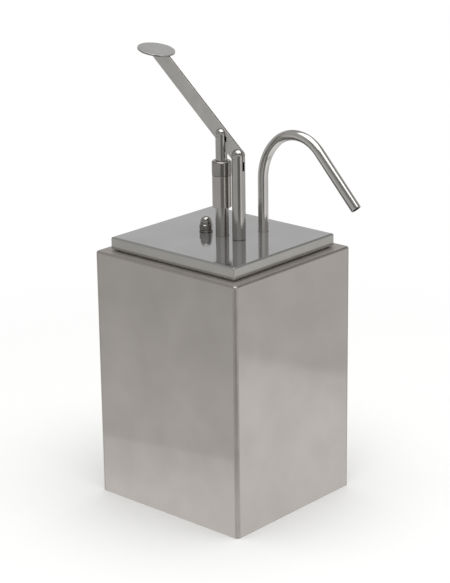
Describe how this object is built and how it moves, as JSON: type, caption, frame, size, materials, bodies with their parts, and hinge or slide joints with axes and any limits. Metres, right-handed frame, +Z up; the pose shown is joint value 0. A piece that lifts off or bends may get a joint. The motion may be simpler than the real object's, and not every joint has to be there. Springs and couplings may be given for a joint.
{
  "type": "sauce dispenser",
  "caption": "Counter-top sauce dispenser: sheet-steel housing with a lift-out container, lid with a lever-worked plunger pump and a swan-neck spout over the front.",
  "frame": {"origin": "middle of the housing's base, on the surface that it stands on", "axes": "+Z up, -Y front: the spout's outlet hangs over the front, +Y back: the lever's press plate is above the back, +X the side on which the spout stands"},
  "size_m": [0.189, 0.2692, 0.4938],
  "materials": {
    "housing_steel": "satin stainless sheet",
    "lid_steel": "bright stainless sheet",
    "blade_steel": "satin stainless flat bar",
    "inner_steel": "plain stainless steel",
    "polished_steel": "polished stainless steel",
    "spring_steel": "drawn stainless wire",
    "white_plastic": "moulded food-grade plastic",
    "black_rubber": "matt"
  },
  "bodies": {
    "housing": {"outer_shell": "housing_steel", "container_collar": "housing_steel", "base_plate": "housing_steel"},
    "container": {"sauce_container": "inner_steel"},
    "lid_and_pump": {"lid": "lid_steel", "pump_bridge": "inner_steel", "bridge_stud": "inner_steel", "acorn_nut_washer": "polished_steel", "acorn_nut": "polished_steel", "fulcrum_post": "polished_steel", "post_nut_washer": "inner_steel", "post_nut": "inner_steel", "fulcrum_pin": "polished_steel", "neck_tube": "polished_steel", "guide_bush": "white_plastic", "return_spring": "spring_steel", "pump_cylinder": "inner_steel", "cylinder_head": "inner_steel", "foot_valve": "inner_steel", "inlet_ball_pin": "inner_steel", "outlet_arm": "inner_steel", "outlet_valve_body": "inner_steel", "outlet_ball_pin": "inner_steel", "riser_tube": "inner_steel", "riser_coupling": "inner_steel", "spout_seal_ring": "black_rubber", "spout_union_nut": "inner_steel", "spout_tube": "polished_steel"},
    "lever": {"lever_blade": "blade_steel", "press_plate": "polished_steel"},
    "plunger": {"plunger_rod": "polished_steel", "rod_pin": "polished_steel", "sleeve_cap": "polished_steel", "spring_sleeve": "polished_steel", "piston": "white_plastic", "piston_seal_lower": "black_rubber", "piston_seal_upper": "black_rubber", "piston_nut": "inner_steel"},
    "inlet_ball_body": {"inlet_ball": "polished_steel"},
    "outlet_ball_body": {"outlet_ball": "polished_steel"}
  },
  "joints": [
    {"name": "container_lift", "type": "slide", "parent": "housing", "child": "container", "axis": [0, 0, 1], "range_m": [0, 0.27]},
    {"name": "lid_lift", "type": "slide", "parent": "container", "child": "lid_and_pump", "axis": [0, 0, 1], "range_m": [0, 0.27]},
    {"name": "lever_hinge", "type": "hinge", "parent": "lid_and_pump", "child": "lever", "pos_m": [0, -0.024, 0.3885], "axis": [-1, 0, 0], "range_deg": [0, 47]},
    {"name": "plunger_slide", "type": "slide", "parent": "lid_and_pump", "child": "plunger", "axis": [0, 0, -1], "range_m": [0, 0.0233], "stiffness_N_per_m": 350, "springref_m": -0.025, "deforming": ["return_spring"]},
    {"name": "inlet_ball_lift", "type": "slide", "parent": "lid_and_pump", "child": "inlet_ball_body", "axis": [0, 0, 1], "range_m": [0, 0.004]},
    {"name": "outlet_ball_lift", "type": "slide", "parent": "lid_and_pump", "child": "outlet_ball_body", "axis": [0, 0, 1], "range_m": [0, 0.003]}
  ],
  "couplings": [
    {"joint": "plunger_slide", "follows": "lever_hinge", "m_per_rad": 0.028381}
  ]
}
